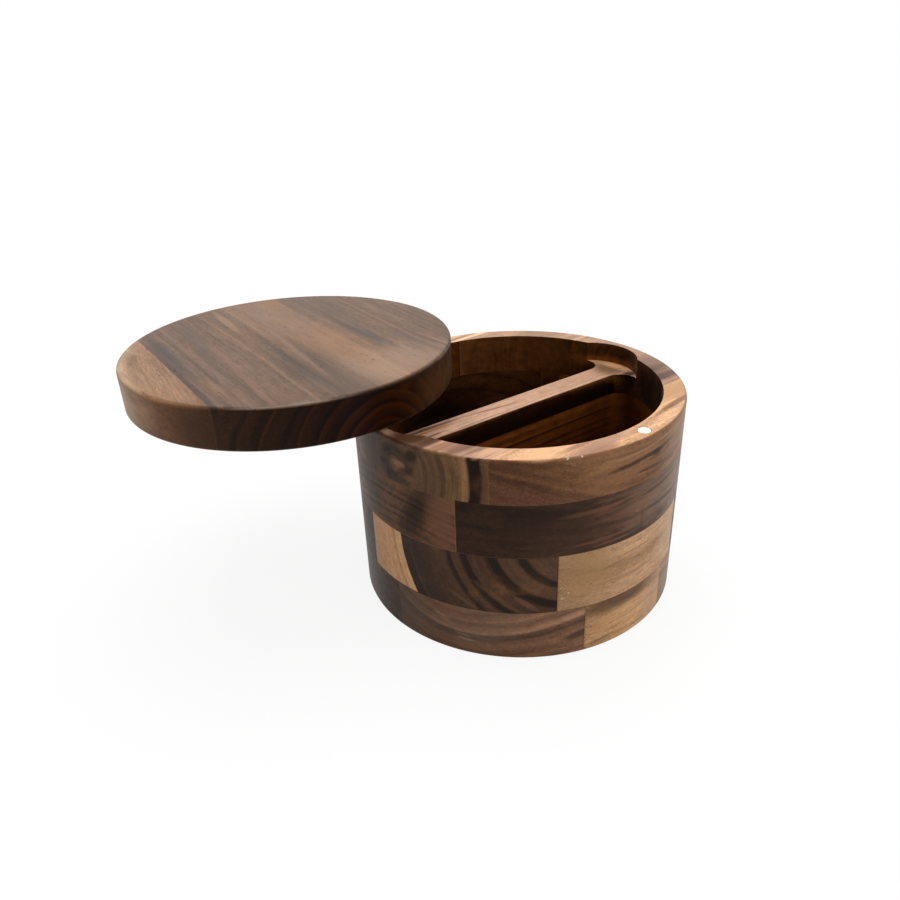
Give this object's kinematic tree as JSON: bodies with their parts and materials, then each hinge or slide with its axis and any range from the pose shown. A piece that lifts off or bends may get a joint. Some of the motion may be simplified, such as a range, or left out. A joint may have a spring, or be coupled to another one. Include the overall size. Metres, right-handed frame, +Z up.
{
  "type": "round wooden spice box",
  "caption": "Round laminated wooden box with two divided compartments and a flat lid that swivels on an upright pin and is held shut by a magnet.",
  "frame": {"origin": "centre of the base, on the surface that the box stands on", "axes": "+X along the divider and the glue joints, +Z up, -Y towards the magnet"},
  "size_m": [0.1657, 0.1632, 0.0847],
  "materials": {
    "brown_heartwood": "oiled acacia heartwood, mid brown, semi-gloss",
    "dark_heartwood": "oiled acacia heartwood, nearly black brown, semi-gloss",
    "golden_sapwood": "oiled acacia near the sapwood, golden tan, semi-gloss",
    "grey_heartwood": "oiled acacia heartwood, greyed brown, semi-gloss",
    "pin_steel": "ground steel dowel",
    "magnet_nickel": "nickel-plated magnet"
  },
  "bodies": {
    "body": {"top_front_strip": "golden_sapwood", "top_middle_strip": "brown_heartwood", "top_back_strip": "golden_sapwood", "upper_front_strip": "dark_heartwood", "upper_middle_strip": "brown_heartwood", "upper_back_strip": "brown_heartwood", "lower_front_strip": "golden_sapwood", "lower_middle_strip": "dark_heartwood", "lower_back_strip": "dark_heartwood", "base_front_strip": "golden_sapwood", "base_middle_strip": "brown_heartwood", "base_back_strip": "grey_heartwood", "pivot_pin": "pin_steel", "rim_magnet": "magnet_nickel"},
    "lid": {"lid_wide_board": "grey_heartwood", "lid_edge_board": "golden_sapwood", "lid_magnet": "magnet_nickel"}
  },
  "joints": [
    {"name": "lid_swivel", "type": "hinge", "parent": "body", "child": "lid", "pos_m": [-0.0043, 0.05122, 0.0704], "axis": [0, 0, 1], "continuous": true}
  ]
}
